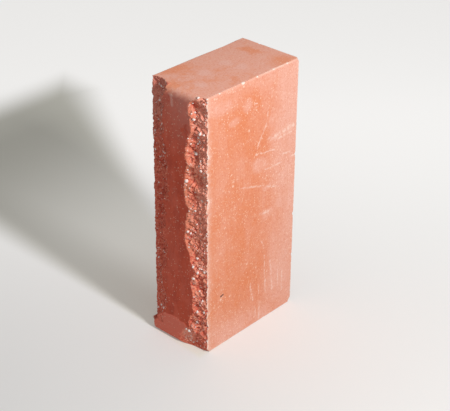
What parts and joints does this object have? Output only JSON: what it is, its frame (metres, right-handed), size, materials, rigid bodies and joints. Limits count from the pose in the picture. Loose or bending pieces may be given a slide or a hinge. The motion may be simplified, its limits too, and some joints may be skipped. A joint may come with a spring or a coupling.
{
  "type": "hyper-pressed brick",
  "caption": "Solid pressed facing brick with one rock-faced stretcher: a smooth strip between two knocked-off arrises, its ends turned in to the headers.",
  "frame": {"origin": "centre of the overall box at the header end that the brick stands on", "axes": "+Z along the brick's length to the upper header, +X out of one bed across the thickness, -Y out of the rock face, +Y out of the smooth stretcher"},
  "size_m": [0.065, 0.12, 0.25],
  "materials": {
    "pressed_brick": "matt pressed surface, rough broken arrises with pale grit"
  },
  "bodies": {
    "root": {"brick": "pressed_brick"}
  },
  "joints": []
}
